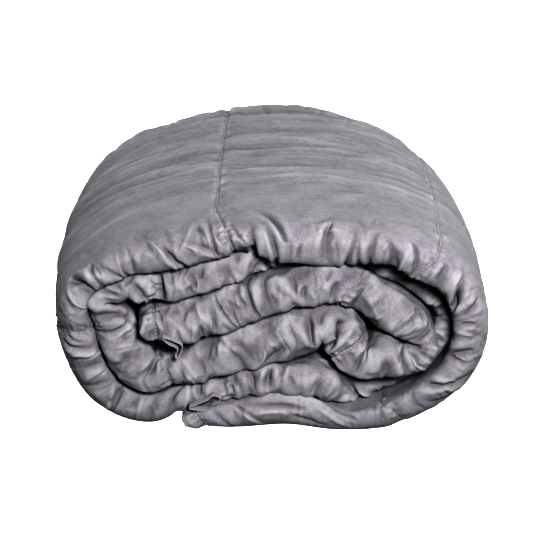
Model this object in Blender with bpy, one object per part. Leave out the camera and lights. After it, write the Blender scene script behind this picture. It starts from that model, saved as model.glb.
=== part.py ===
"""A quilted weighted blanket, folded lengthwise in four and rolled up, lying on its long side.

The roll's axis runs along Y. Its front end, which shows the wound folds, is towards -Y, +X is to the
right and +Z up. The origin is under the middle of the roll, on the surface that it rests on.
Sizes are in millimetres, and the meshes are in metres.
"""

import math

import bmesh
import bpy
import numpy as np

MM = 0.001

FOLDED_WIDTH = 375.0  # a blanket 1.5 m wide, folded in four: the length of the roll
FRONT = -184.0  # where the front of the roll stands
TURN_GAP = 2.0  # between one turn and the next
MAKES_ROOM = 10.0  # a turn makes room this far in front of the edge of a turn that stands back
ROUTE_STEP = 3.0  # between the samples of the route
COLUMN_STEP = 17.0  # between the columns of points along the blanket, where it runs straight
COLUMN_TURN = math.radians(20)  # between them where it bends
LEAST_STEP = 3.0  # two columns are never closer than this
SAME_BEND = 45.0  # points of the route nearer than this belong to one bend
BEND_SHARE = 0.8  # how much of a bend's radius its inner face may fill

# The middle of the folded cloth, from its free end under the roll inwards to its inner end.
# Name of the stretch, x, z, how far the cloth reaches to its outer and to its inner side where nothing
# presses on it, and how far its front edge stands back from the front of the roll.
ROUTE = (
    ("free end", -74, 4, 9, 9, -5),
    ("hem", -60, 9, 11, 9, -4),
    ("under the roll", -30, 12, 16, 16, 0),
    ("under the roll", 16, 14, 18, 18, 0),
    ("under the roll", 64, 11, 14, 14, 0),
    ("under the roll", 102, 14, 15, 15, 0),
    ("right bottom", 134, 30, 15, 15, 0),
    ("right side", 160, 53, 15, 15, 0),
    ("right side", 171, 84, 15, 15, 0),
    ("right side", 168, 115, 15, 15, 0),
    ("right shoulder", 150, 141, 16, 16, 0),
    ("top", 116, 161, 16, 16, 0),
    ("top", 62, 170, 16, 16, 0),
    ("top", 11, 173, 16, 16, 0),
    ("top", -40, 171, 16, 16, 0),
    ("top", -91, 162, 16, 16, 0),
    ("left shoulder", -139, 145, 16, 16, 0),
    ("left side", -164, 118, 15, 15, 0),
    ("left side", -171, 88, 15, 15, 2),
    ("left side", -162, 56, 15, 15, 8),
    ("left bottom", -142, 28, 15, 15, 14),
    ("left bottom", -109, 14, 15, 15, 14),
    ("over the free end", -76, 24, 13, 13, 10),
    ("over the free end", -47, 35, 12, 12, 8),
    ("lower run", -9, 42, 14, 14, 3),
    ("lower run", 33, 48, 16, 16, 2),
    ("lower run", 64, 41, 14, 12, 10),
    ("lower right", 98, 43, 12, 10, 16),
    ("lower right", 130, 58, 10, 9, 20),
    ("inner right side", 149, 82, 9, 9, 22),
    ("inner right side", 148, 105, 9, 9, 22),
    ("inner right side", 127, 123, 9, 9, 24),
    ("upper right", 93, 140, 9, 9, 24),
    ("upper run", 50, 151, 10, 10, 18),
    ("upper run", 11, 153, 13, 13, 10),
    ("upper run", -23, 149, 14, 14, 5),
    ("upper run", -57, 138, 13, 13, 4),
    ("upper run", -96, 130, 12, 12, 4),
    ("inner left shoulder", -126, 127, 14, 14, 6),
    ("left cushion", -144, 112, 19, 19, 8),
    ("left cushion", -144, 88, 19, 22, 6),
    ("left cushion", -130, 66, 19, 22, 5),
    ("left cushion", -109, 50, 19, 19, 6),
    ("middle run", -71, 55, 19, 19, 6),
    ("middle run", -23, 69, 19, 19, 2),
    ("middle run", 20, 84, 19, 19, 0),
    ("hump", 48, 91, 22, 20, 0),
    ("hump", 65, 79, 24, 18, 2),
    ("tuck", 76, 65, 20, 20, 4),
    ("tuck", 97, 62, 14, 22, 3),
    ("tuck", 121, 63, 13, 20, 4),
    ("innermost turn", 135, 76, 13, 20, 6),
    ("innermost turn", 128, 93, 18, 26, 6),
    ("inner run", 110, 112, 20, 30, 4),
    ("inner run", 88, 126, 19, 24, 2),
    ("inner run", 58, 131, 18, 18, 0),
    ("inner run", 20, 125, 19, 19, 0),
    ("inner run", -28, 112, 20, 20, 0),
    ("inner run", -71, 101, 20, 20, 0),
    ("inner hem", -97, 96, 16, 16, -2),
    ("inner end", -111, 95, 13, 13, -2),
)

# How the roll widens and narrows from its front to its back, at the front, at the pull of its middle,
# and at the back. The shoulders are the shares of the height that it loses at its left and right side.
BARREL = {
    "left width": (1.0, 1.10, 0.96),
    "right width": (1.0, 1.03, 0.98),
    "left shoulder": (0.0, -0.04, 0.05),
    "right shoulder": (0.0, 0.0, 0.25),
}
HALF_WIDTH = 187.0

# The quilting seams across the blanket: how far each is from the free end, along the route.
HEM = 14.0  # from each end of the blanket
SEAMS = (HEM, 182, 356, 542, 716, 887, 1062, 1237, 1385, 1532, 1700, 1865, -HEM)
SEAM_WIDTH = 6.0
SEAM_DEPTH = 0.16  # share of the half thickness
SEAM_PULL = 3.0  # how far a seam draws the front edge back
PUFF = 0.05  # how much fuller the cloth is between two seams, as a share
END_ROUND = 8.0  # the round of the blanket's two short ends
END_SHARE = 0.45  # what is left of the thickness at the very end

# The main pleats in the front edge. Name, distance from the free end, width, depth,
# and the middle of the pleat round the edge: 90 is the outer face and -90 the inner face.
PLEATS = (
    ("free end pleat", 41, 8, 5, -20),
    ("right bottom tuck", 262, 8, 5, -40),
    ("right side tuck", 330, 8, 5, -45),
    ("right shoulder tuck", 395, 8, 5, -60),
    ("top right tuck", 455, 10, 5, -50),
    ("top notch", 524, 11, 13, -70),
    ("top left tuck", 625, 10, 5, -40),
    ("left shoulder tuck", 674, 10, 6, -20),
    ("left bottom pleat", 788, 10, 8, -20),
    ("lower notch", 929, 10, 8, 70),
    ("lower right fold", 998, 9, 6, 0),
    ("cushion tuck", 1463, 10, 6, -60),
    ("middle run fold", 1592, 9, 4, 20),
    ("hump tuck", 1712, 9, 9, -20),
    ("tuck fold", 1760, 8, 6, -20),
    ("inner run fold", 1916, 9, 4, -30),
    ("inner run fold", 1980, 9, 4, -30),
)
PLEAT_SPREAD = 50.0  # degrees round the edge
PLEAT_SQUEEZE = 0.33  # how much of a pleat's depth it also takes from the thickness there

# The rows of points round the cloth's section, in degrees round each edge.
FRONT_ROWS = (90, 62, 38, 14, -14, -38, -62, -90)
FRONT_MEASURE = 12.0  # how far behind its front edge the thickness that rounds it is taken
BACK_ROWS = (-90, -50, 0, 50, 90)
FACE_ROWS = (0.04, 0.09, 0.32, 0.68)  # shares of the way from one edge to the other
EDGE_SQUARE = 2.3  # 2 is a round edge, and more is squarer
BACK_UNEVEN = 3.0  # how unevenly the turns end at the back, in waves along the blanket
BACK_WAVE = 90.0
LAYER_DEPTHS = (0.0, 8.0, 16.0, 24.0, 32.0, 40.0, 50.0, 62.0)  # behind the front, where turns are fitted
OUTER, INNER = 1, -1

# The ribbon loops at the blanket's corners, each sewn to the inner face by a hem.
RIBBON = 1.4  # its thickness
RIBBON_WIDTH = 10.0
CURVE_STEPS = 4
# Offsets (x, z) of the ribbon's middle from the place on the cloth where it is sewn.
OUTER_LOOP = (
    (-7, 1.5),
    (0, 1.9),
    (7, 4.3),
    (13, 7.8),
    (17.8, 11.6),
    (17.2, 15.4),
    (10.5, 15.4),
    (2, 10.9),
    (-5.5, 6.2),
    (-8.5, 3.6),
)
INNER_LOOP = (
    (0, 0.4),
    (9, -4.9),
    (15, -10.2),
    (17.2, -16),
    (15, -19.8),
    (12.6, -18.8),
    (14.2, -15.2),
    (7.6, -8.4),
    (-1.2, -2.2),
)
OUTER_LOOP_DEPTH = 8.0  # of the ribbon's back edge behind the front of the roll
INNER_LOOP_DEPTH = 3.0

CLOTH_GREY = (0.33, 0.32, 0.34)
RIBBON_GREY = (0.38, 0.37, 0.39)


def distances(points):
    """How far each point is from the first one, along the line through them."""
    return np.concatenate([[0.0], np.cumsum(np.linalg.norm(np.diff(points, axis=0), axis=1))])


def softened(values, reach=6):
    """Each value made a rounded mean of itself and its neighbours."""
    weights = np.hanning(2 * reach + 1)[1:-1]
    padded = np.concatenate([np.full(reach - 1, values[0]), values, np.full(reach - 1, values[-1])])
    return np.convolve(padded, weights / weights.sum(), "valid")


def smooth_route(rows):
    """The route as a smooth curve through its rows, sampled every ROUTE_STEP: x, z, outer, inner, back."""
    knots = np.array([row[1:] for row in rows], float)
    knot_at = distances(knots[:, :2])
    slopes = np.gradient(knots[:, :2], knot_at, axis=0)
    fine = np.linspace(0, knot_at[-1], round(4 * knot_at[-1] / ROUTE_STEP))
    first = np.clip(np.searchsorted(knot_at, fine, side="right") - 1, 0, len(knots) - 2)
    gap = (knot_at[first + 1] - knot_at[first])[:, None]
    u = (fine[:, None] - knot_at[first][:, None]) / gap
    places = (
        knots[first, :2] * (1 + 2 * u) * (1 - u) ** 2
        + knots[first + 1, :2] * u**2 * (3 - 2 * u)
        + slopes[first] * gap * u * (1 - u) ** 2
        - slopes[first + 1] * gap * u**2 * (1 - u)
    )
    run = distances(places)
    at = np.linspace(0, run[-1], round(run[-1] / ROUTE_STEP) + 1)
    where = np.interp(at, run, fine)
    return np.column_stack(
        [np.interp(at, run, places[:, 0]), np.interp(at, run, places[:, 1])]
        + [softened(np.interp(where, knot_at, knots[:, column])) for column in (2, 3, 4)]
    )


class Roll:
    """The wound cloth: its route, and how far it reaches to each side of it."""

    def __init__(self, rows):
        samples = smooth_route(rows)
        self.points = samples[:, :2]
        self.at = distances(self.points)
        self.length = self.at[-1]
        self.free_reach = {OUTER: samples[:, 2], INNER: samples[:, 3]}
        self.back = samples[:, 4]
        self.way = np.gradient(self.points, axis=0)
        self.way /= np.linalg.norm(self.way, axis=1)[:, None]
        self.outward = np.column_stack([self.way[:, 1], -self.way[:, 0]])
        self.reaches = {
            side: [self.reach_at_depth(side, depth) for depth in LAYER_DEPTHS]
            for side in (OUTER, INNER)
        }
        self.seams = [seam % self.length for seam in SEAMS]

    def reach_at_depth(self, side, depth):
        """How far the cloth reaches to one side of its route, all along it, at one depth."""
        room = self.room(side, self.back <= depth + MAKES_ROOM)
        return np.minimum(softened(np.minimum(self.free_reach[side], room)), room)

    def room(self, side, there):
        """How far each point can go along its normal and stay nearest to its own place on the route.

        It is the radius of the ball that touches the route there and meets another part of it.
        Only the turns that are there count. They leave TURN_GAP between them, and a point of the
        same bend leaves it BEND_SHARE of the radius.
        """
        away = self.points[None, :, :] - self.points[:, None, :]
        ahead = side * (away * self.outward[:, None, :]).sum(axis=2)
        radius = (away**2).sum(axis=2) / (2 * np.maximum(ahead, 0.001))
        radius[ahead < 0.001] = np.inf
        same = np.abs(self.at[None, :] - self.at[:, None]) < SAME_BEND
        other_turn = np.where(~same & there[None, :], radius, np.inf).min(axis=1) - TURN_GAP / 2
        same_bend = np.where(same, radius, np.inf).min(axis=1) * BEND_SHARE
        return np.minimum(other_turn, same_bend)

    def reach(self, side, place, depth):
        """How far the cloth reaches to one side of its route at one place and depth."""
        here = [np.interp(place, self.at, layer) for layer in self.reaches[side]]
        return np.interp(depth, LAYER_DEPTHS, here)

    def seam_pull(self, place, width):
        """1 on a seam, and falling softly to 0 a few widths away from it."""
        return bump(min(abs(place - seam) for seam in self.seams), width)

    def fullness(self, place):
        """How full the cloth is at a place: drawn in at its seams and at its two ends."""
        full = 1 + PUFF * (1 - self.seam_pull(place, 6 * SEAM_WIDTH))
        full -= SEAM_DEPTH * self.seam_pull(place, SEAM_WIDTH)
        to_end = min(place, self.length - place)
        if to_end < END_ROUND:
            full *= max(END_SHARE, math.sqrt(1 - (1 - to_end / END_ROUND) ** 2))
        return full

    def surface(self, place, depth, share):
        """A point in the cloth: share is 1 on its outer face, -1 on its inner face, and 0 between them."""
        centre, outward = (
            np.array([np.interp(place, self.at, part[:, k]) for k in (0, 1)])
            for part in (self.points, self.outward)
        )
        out, inn = (self.reach(side, place, depth) for side in (OUTER, INNER))
        offset = (out - inn) / 2 + share * self.fullness(place) * (out + inn) / 2
        return barrelled(*(centre + outward / np.linalg.norm(outward) * offset), depth)

    def columns(self):
        """Where the columns of points stand: evenly, and closer in bends and at seams, pleats and ends."""
        heading = np.unwrap(np.arctan2(self.way[:, 1], self.way[:, 0]))
        bend = softened(np.abs(np.gradient(heading, self.at)))
        pace = np.maximum(1 / COLUMN_STEP, bend / COLUMN_TURN)
        count = np.concatenate([[0.0], np.cumsum((pace[1:] + pace[:-1]) / 2 * np.diff(self.at))])
        wanted = [0.0, self.length]
        wanted += [share * END_ROUND for share in (0.3, 1)]
        wanted += [self.length - share * END_ROUND for share in (0.3, 1)]
        drawn_in = [(seam, SEAM_WIDTH) for seam in self.seams] + [(row[1], row[2]) for row in PLEATS]
        for place, width in drawn_in:
            wanted += [place - width, place, place + width]
        for place in np.interp(np.arange(count[-1]), count, self.at):
            if min(abs(place - other) for other in wanted) > 0.6 / np.interp(place, self.at, pace):
                wanted.append(place)
        kept = [0.0]
        for place in sorted(wanted):
            if kept[-1] + LEAST_STEP <= place <= self.length - LEAST_STEP:
                kept.append(place)
        return kept + [self.length]


def barrelled(x, z, depth):
    """A point of the straight roll moved to where it lies in the real one, which varies in width."""
    t = depth / FOLDED_WIDTH
    side = "left" if x < 0 else "right"
    width, shoulder = (
        (1 - t) ** 2 * front + 2 * t * (1 - t) * middle + t**2 * back
        for front, middle, back in (BARREL[side + " width"], BARREL[side + " shoulder"])
    )
    return x * width, FRONT + depth, max(z * (1 - shoulder * (x / HALF_WIDTH) ** 2), 0.0)


def bump(distance, width):
    """1 at no distance, falling softly to 0 a few widths away."""
    return math.exp(-((distance / width) ** 2))


def pleat_depth(place, angle):
    """How far the pleats draw the front edge in, at a place along it and an angle round it."""
    return sum(
        depth * bump(place - at, 0.7 * width) * bump(angle - middle, PLEAT_SPREAD)
        for name, at, width, depth, middle in PLEATS
    )


def rounded(angle):
    """How far in from its tip and how far to the side an edge of unit size is, at an angle round it."""
    c, s = math.cos(math.radians(angle)), math.sin(math.radians(angle))
    power = 2 / EDGE_SQUARE
    return 1 - abs(c) ** power, math.copysign(abs(s) ** power, s)


def section(roll, place):
    """One closed loop of points round the folded cloth: its front edge, a face, its back edge, a face."""
    front = np.interp(place, roll.at, roll.back) + SEAM_PULL * roll.seam_pull(place, SEAM_WIDTH)
    rear = FOLDED_WIDTH - BACK_UNEVEN * (1 + math.sin(place / BACK_WAVE))
    front_round, rear_round = (
        sum(roll.reach(side, place, depth) for side in (OUTER, INNER)) / 2
        for depth in (front + FRONT_MEASURE, rear)
    )
    loop = []
    for angle in FRONT_ROWS:
        inward, side = rounded(angle)
        pleat = pleat_depth(place, angle)
        depth = front + front_round * inward + pleat * math.cos(math.radians(angle))
        loop.append(roll.surface(place, depth, side * (1 - PLEAT_SQUEEZE * pleat / front_round)))
    faces = [
        front + front_round + share * (rear - rear_round - front - front_round) for share in FACE_ROWS
    ]
    loop += [roll.surface(place, depth, INNER) for depth in faces]
    for angle in BACK_ROWS:
        inward, side = rounded(angle)
        loop.append(roll.surface(place, rear - rear_round * inward, side))
    loop += [roll.surface(place, depth, OUTER) for depth in reversed(faces)]
    return loop


def cloth_material(name, grey):
    """A matt woven cotton of one grey."""
    material = bpy.data.materials.new(name)
    material.use_nodes = True
    shader = material.node_tree.nodes["Principled BSDF"]
    shader.inputs["Base Color"].default_value = (*grey, 1.0)
    shader.inputs["Roughness"].default_value = 0.85
    shader.inputs["Metallic"].default_value = 0.0
    return material


def add_object(name, mesh, material):
    """Puts a finished mesh into the scene as one smooth object."""
    bmesh.ops.recalc_face_normals(mesh, faces=mesh.faces)
    data = bpy.data.meshes.new(name)
    mesh.to_mesh(data)
    mesh.free()
    data.materials.append(material)
    data.shade_smooth()
    bpy.context.collection.objects.link(bpy.data.objects.new(name, data))


def joined_rings(mesh, loops, closed):
    """Rings of points, each joined to the next by quads, and the last to the first if they close."""
    rings = [[mesh.verts.new([c * MM for c in point]) for point in loop] for loop in loops]
    count = len(rings[0])
    for k, ring in enumerate(rings if closed else rings[:-1]):
        following = rings[(k + 1) % len(rings)]
        for i in range(count):
            j = (i + 1) % count
            mesh.faces.new((ring[i], ring[j], following[j], following[i]))
    return rings


def add_blanket(roll):
    """The folded and rolled cloth: its sections joined, and its two short ends filled across."""
    mesh = bmesh.new()
    rings = joined_rings(mesh, [section(roll, place) for place in roll.columns()], closed=False)
    half_front = len(FRONT_ROWS) // 2
    for ring in (rings[0], rings[-1]):
        pairs = [(ring[half_front - 1 - k], ring[half_front + k]) for k in range(len(ring) // 2 + 1)]
        for (a, b), (c, d) in zip(pairs, pairs[1:]):
            mesh.faces.new((a, b, d, c) if c is not d else (a, b, c))
    add_object("blanket", mesh, cloth_material("quilted_cotton", CLOTH_GREY))


def closed_curve(points):
    """A smooth closed curve through the points, in CURVE_STEPS steps from each to the next."""
    before, start, end, after = (np.roll(points, shift, axis=0) for shift in (1, 0, -1, -2))
    u = np.linspace(0, 1, CURVE_STEPS, endpoint=False)[:, None, None]
    curve = (
        start
        + u * (end - before) / 2
        + u**2 * (before - 2.5 * start + 2 * end - after / 2)
        + u**3 * (1.5 * start - 1.5 * end + (after - before) / 2)
    )
    return curve.transpose(1, 0, 2).reshape(-1, 2)


def add_ribbon_loop(roll, name, hem, offsets, back_depth):
    """A ribbon bent to a closed loop, its width along the roll, sewn to the inner face by a hem."""
    front = np.interp(hem, roll.at, roll.back)
    front_round = sum(roll.reach(side, hem, front + FRONT_MEASURE) for side in (OUTER, INNER)) / 2
    inward = min((back_depth - front) / front_round, 1)
    lean = math.acos((1 - inward) ** (EDGE_SQUARE / 2))
    x, _, z = roll.surface(hem, back_depth, INNER * rounded(math.degrees(lean))[1])
    middle = closed_curve(np.array(offsets, float)) + (x, z)
    way = np.roll(middle, -1, axis=0) - np.roll(middle, 1, axis=0)
    way /= np.linalg.norm(way, axis=1)[:, None]
    across = np.column_stack([way[:, 1], -way[:, 0]]) * RIBBON / 2
    near, far = FRONT + back_depth - RIBBON_WIDTH, FRONT + back_depth
    sections = [
        [(a[0], near, a[1]), (b[0], near, b[1]), (b[0], far, b[1]), (a[0], far, a[1])]
        for a, b in zip(middle + across, middle - across)
    ]
    mesh = bmesh.new()
    joined_rings(mesh, sections, closed=True)
    add_object(name, mesh, cloth_material(name + "_ribbon", RIBBON_GREY))


def main():
    for old in list(bpy.data.objects):
        bpy.data.objects.remove(old)
    roll = Roll(ROUTE)
    add_blanket(roll)
    add_ribbon_loop(roll, "tab_outer", roll.seams[0], OUTER_LOOP, OUTER_LOOP_DEPTH)
    add_ribbon_loop(roll, "tab_inner", roll.seams[-1], INNER_LOOP, INNER_LOOP_DEPTH)


main()
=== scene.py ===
"""Looks of a quilted weighted blanket, folded lengthwise and rolled up, lying on its long side.

It is taken to be folded in four, which can't be told from outside.

The roll's axis runs along Y, and its front end, which shows the wound folds, is towards -Y.
Lengths in the tables are in millimetres. A place on the cloth is given by two of them: how far it is
from the blanket's free end along the roll's winding, and how far it is across, from the middle of the
folded front edge: positive over the outer face, negative over the inner one.
"""

import math

import bpy
import numpy as np
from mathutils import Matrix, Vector


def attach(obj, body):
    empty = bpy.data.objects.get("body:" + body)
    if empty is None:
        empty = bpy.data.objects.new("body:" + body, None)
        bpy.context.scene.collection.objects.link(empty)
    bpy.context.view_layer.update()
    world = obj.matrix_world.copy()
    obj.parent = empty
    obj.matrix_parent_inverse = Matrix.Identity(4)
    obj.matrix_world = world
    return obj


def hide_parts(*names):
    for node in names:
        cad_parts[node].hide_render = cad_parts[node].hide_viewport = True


MM = 0.001

OUTER, INNER = 1, -1

# The wound cloth, near the part's source: here the gap is smaller, inner turns stand further back, and
# some points of the route have moved.
FOLDED_WIDTH = 375.0  # the length of the roll, for a blanket taken to be 1.5 m wide and folded in four
FRONT = -184.0  # where the front of the roll stands
TURN_GAP = 1.0  # between one turn and the next
MAKES_ROOM = 10.0  # a turn makes room this far in front of the edge of a turn that stands back
ROUTE_STEP = 3.0  # between the samples of the route
SAME_BEND = 45.0  # points of the route nearer than this belong to one bend
BEND_SHARE = 0.8  # how much of a bend's radius its inner face may fill

# The middle of the folded cloth, by stretches, from its free end under the roll inwards to its inner end:
# x, z, how far the cloth reaches to its outer and to its inner side where nothing presses on it, and how
# far its front edge stands back from the front of the roll.
ROUTE = {
    "free end": ((-76, 8.5, 8, 8, -5),),
    "hem": ((-64, 13, 11, 10, -4),),
    "under the roll": ((-30, 15, 16, 17, 0), (6, 19, 19, 19, 0), (62, 8, 9, 9, 0), (102, 13, 14, 14, 0)),
    "right bottom": ((134, 30, 15, 15, 0),),
    "right side": ((160, 53, 15, 15, 0), (171, 84, 15, 15, 0), (168, 115, 15, 15, 0)),
    "right shoulder": ((150, 141, 16, 16, 0),),
    "top": (
        (116, 161, 16, 16, 0), (62, 170, 16, 16, 0), (11, 173, 16, 16, 0), (-40, 171, 16, 16, 0),
        (-91, 162, 16, 16, 0),
    ),
    "left shoulder": ((-139, 145, 16, 16, 0),),
    "left side": ((-168, 120, 14, 12, 0), (-168.5, 90, 16, 17, 2), (-160, 57, 15, 15, 8)),
    "left bottom": ((-142, 28, 15, 15, 14), (-109, 14, 15, 15, 14)),
    "over the free end": ((-76, 23, 12, 12, 10), (-47, 34, 12, 12, 8)),
    "lower run": ((-7, 45, 13, 13, 3), (33, 44, 16, 16, 2), (64, 33, 14, 13, 10)),
    "lower right": ((98, 40, 12, 10, 30), (130, 58, 10, 9, 30)),
    "inner right side": ((149, 82, 9, 9, 34), (148, 105, 9, 9, 34), (127, 123, 9, 9, 36)),
    "upper right": ((93, 140, 9, 9, 38),),
    "upper run": (
        (50, 153, 8, 8, 40), (11, 155, 11, 11, 30), (-23, 152, 13, 13, 13), (-57, 140, 13, 13, 4),
        (-96, 131, 13, 13, 4),
    ),
    "inner left shoulder": ((-126, 131, 12, 13, 5),),
    "left cushion": (
        (-146, 117, 16, 17, 8), (-136, 99, 18, 20, 7), (-133, 84, 19, 22, 6), (-124, 66, 20, 21, 5),
        (-107, 50, 19, 19, 6),
    ),
    "middle run": ((-71, 53, 21, 21, 6), (-23, 71, 22, 22, 2), (20, 89, 21, 21, 0)),
    "hump": ((46, 96, 23, 22, 0), (64, 82, 24, 18, 2)),
    "tuck": ((76, 65, 20, 20, 4), (97, 62, 14, 22, 3), (121, 63, 13, 20, 4)),
    "innermost turn": ((132, 76, 10, 18, 6), (123, 92, 13, 22, 7)),
    "inner run": (
        (106, 109, 16, 27, 7), (86, 123.5, 16, 22, 7), (58, 136, 17, 17, 0), (20, 131.5, 17, 17, 0),
        (-28, 117, 19, 19, 0), (-71, 102.5, 20, 20, 0),
    ),
    "inner hem": ((-99, 97, 14, 14, -2),),
    "inner end": ((-114, 96, 11, 11, -2),),
}

# The cloth is taken up at its bends: places along the route's middle line, and the places on the cloth
# that lie there.
TAKEN_UP = (
    (0, 0), (45, 42), (645, 642), (725, 719), (1000, 994), (1072, 1063), (1394, 1385), (1440, 1427),
    (1478, 1465), (1512, 1500), (1652, 1640.5), (1697, 1681), (1727, 1709.5), (1884, 1866), (1930, 1910),
    (2075, 2054.6),
)

# How the roll widens and narrows from its front to its back, at the front, at the pull of its middle,
# and at the back. The shoulders are the shares of the height that it loses at its left and right side.
BARREL = {
    "left width": (1.0, 1.10, 0.96),
    "right width": (1.0, 1.03, 0.98),
    "left shoulder": (0.0, -0.04, 0.05),
    "right shoulder": (0.0, 0.0, 0.25),
}
HALF_WIDTH = 187.0

# The quilting seams across the blanket: how far each is from the free end, along the route.
HEM = 14.0  # from each end of the blanket
SEAMS = (HEM, 182, 356, 542, 716, 887, 1062, 1237, 1385, 1532, 1700, 1865, -HEM)
SEAM_WIDTH = 6.0
SEAM_DEPTH = 0.06  # share of the half thickness
SEAM_PULL = 3.0  # how far a seam draws the front edge back
PUFF = 0.05  # how much fuller the cloth is between two seams, as a share
END_ROUND = 8.0  # the round of the blanket's two short ends
END_ROOM = 0.7  # how much more room the turn round the inner end has, as a share
TIP_SLANT, TIP_MIDDLE, TIP_REACH = 0.65, 9.0, 50.0  # how the free end leans, round what height, and how far
END_SHARE = 0.12  # what is left of the thickness at the very end

# The main pleats in the front edge. Name, distance from the free end, width, depth,
# and the middle of the pleat round the edge: 90 is the outer face and -90 the inner face.
PLEATS = (
    ("free end pleat", 41, 8, 5, -20),
    ("right bottom tuck", 262, 8, 5, -40),
    ("right side tuck", 322, 8, 5, -45),
    ("right shoulder tuck", 395, 8, 5, -60),
    ("top right tuck", 455, 8, 4, 20),
    ("top notch", 524, 11, 11, -70),
    ("top left tuck", 625, 10, 5, -40),
    ("left shoulder tuck", 674, 10, 6, -20),
    ("left bottom pleat", 788, 10, 8, -20),
    ("lower notch", 929, 10, 8, 70),
    ("lower right fold", 998, 9, 6, 0),
    ("cushion tuck", 1463, 10, 6, -60),
    ("middle run fold", 1592, 9, 4, 20),
    ("knob fold", 1383, 6, 9, 10),
    ("hump tuck", 1682, 7, 8, -20),
    ("tuck seam", 1709, 6, 4, 20),
    ("tuck fold", 1760, 8, 6, -20),
    ("inner run fold", 1916, 9, 4, -30),
    ("inner run fold", 1980, 9, 4, -30),
)
PLEAT_SPREAD = 50.0  # degrees round the edge
PLEAT_SQUEEZE = 0.33  # how much of a pleat's depth it also takes from the thickness there

# Where the front edge steps back behind a fold: how far from the free end, and how far it steps back.
STEPS = (
    (984, 0), (1002, 8), (1030, 6), (1060, 0), (1679, 0), (1687, 5), (1702, 1), (1712, 0), (1775, 0),
    (1800, 6), (1852, 9), (1860, 0),
)
FRONT_MEASURE = 12.0  # how far behind its front edge the thickness that rounds it is taken
# How the front edge is rounded, along the cloth: how far from the free end, how long it slopes back to
# the outer and to the inner face, in half thicknesses, and where its foremost line lies: from -1, on
# the inner face, to 1, on the outer one.
FRONT_EDGE = (
    (60, 1.7, 0.8, -0.3), (200, 1.9, 0.7, -0.4), (300, 1.7, 0.9, -0.2), (400, 2.2, 0.9, 0.0),
    (640, 2.2, 0.9, 0.0), (730, 1.6, 1.0, 0.0), (847, 1.2, 1.1, 0.0), (890, 0.5, 1.25, 0.4),
    (1062, 0.5, 1.25, 0.4), (1110, 1.0, 1.0, 0.0), (1200, 1.0, 1.0, 0.0), (1250, 1.3, 0.5, -0.4),
    (1400, 1.3, 0.5, -0.4), (1440, 0.9, 1.3, 0.3), (1510, 0.8, 1.3, 0.3), (1560, 0.5, 1.25, 0.4),
    (1720, 0.5, 1.2, 0.4), (1790, 1.0, 1.0, 0.0), (1830, 1.3, 0.6, -0.35), (2060, 1.3, 0.5, -0.4),
)
# How far the front edge of the outer turn hangs in over the turn behind it, along the cloth.
LIP = (
    (300, 0), (345, -3), (372, 5), (396, -4), (424, -2), (453, 5), (492, 3), (512, 0), (524, -4), (540, 0),
    (600, 0),
)
LIP_DEPTH = 14.0  # how far behind the front edge that hang fades
EDGE_SQUARE = {OUTER: 2.1, INNER: 2.7}  # 2 is a round edge, and more is squarer
# The back edge shows how the blanket is folded in four: one fold of half the thickness, and the two
# hemmed sides of a quarter each. The middle and the half thickness of each, as shares, how far its edge
# stands back, and how much that wanders along the blanket.
BACK_LAYERS = ((-0.5, 0.5, 0.0, 1.5), (0.24, 0.24, 5.0, 2.5), (0.74, 0.26, 2.0, 3.0))
BACK_LAYER_ROWS = 11
BACK_LAYER_ROUND = 78.0  # degrees to each side that a layer's round goes before it meets the next one
BACK_UNEVEN = 3.0  # how unevenly the turns end at the back, in waves along the blanket
BACK_WAVE = 90.0
LAYER_DEPTHS = (0.0, 8.0, 16.0, 24.0, 32.0, 40.0, 50.0, 62.0)  # behind the front, where turns are fitted
# How a seam strays from its place: how far across the cloth, and how far along it the seam is there.
SEAM_DRIFT = {
    1: ((-30, -8), (-14, -4), (0, 2), (19, 7), (30, 9), (360, 9)),
    2: ((-30, 17), (-12, 16), (0, 12), (10, 8), (40, 6), (360, 3)),
    3: ((-12, -7), (10, -2), (30, 3), (60, 7), (100, 5), (150, 5), (360, 3)),
    4: ((-20, -4), (0, -6), (20, -7), (360, 0)),
    5: ((-20, 1), (0, 2), (18, 6), (360, 0)),
    9: ((-20, -6), (0, -1), (14, 3), (360, 0)),
    11: ((-12, 4), (0, 1), (10, -5), (22, -8), (360, 0)),
}
STITCH_GROOVE, STITCH_GROOVE_WIDTH = 1.1, 1.5  # how deep the thread pulls a seam in, and how wide
SEAM_RIM = (0.2, 3.2, 1.5)  # the rims beside a seam: their height, their distance from it and width
# The small gathers beside a seam: their height, reach and spacing, how much slower they change along the
# cloth than across it, and how uneven they make the rims.
PUCKER, PUCKER_REACH, PUCKER_STEP, PUCKER_STRETCH, PUCKERED_RIM = 0.7, 7.0, 6.5, 0.3, 0.6

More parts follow.
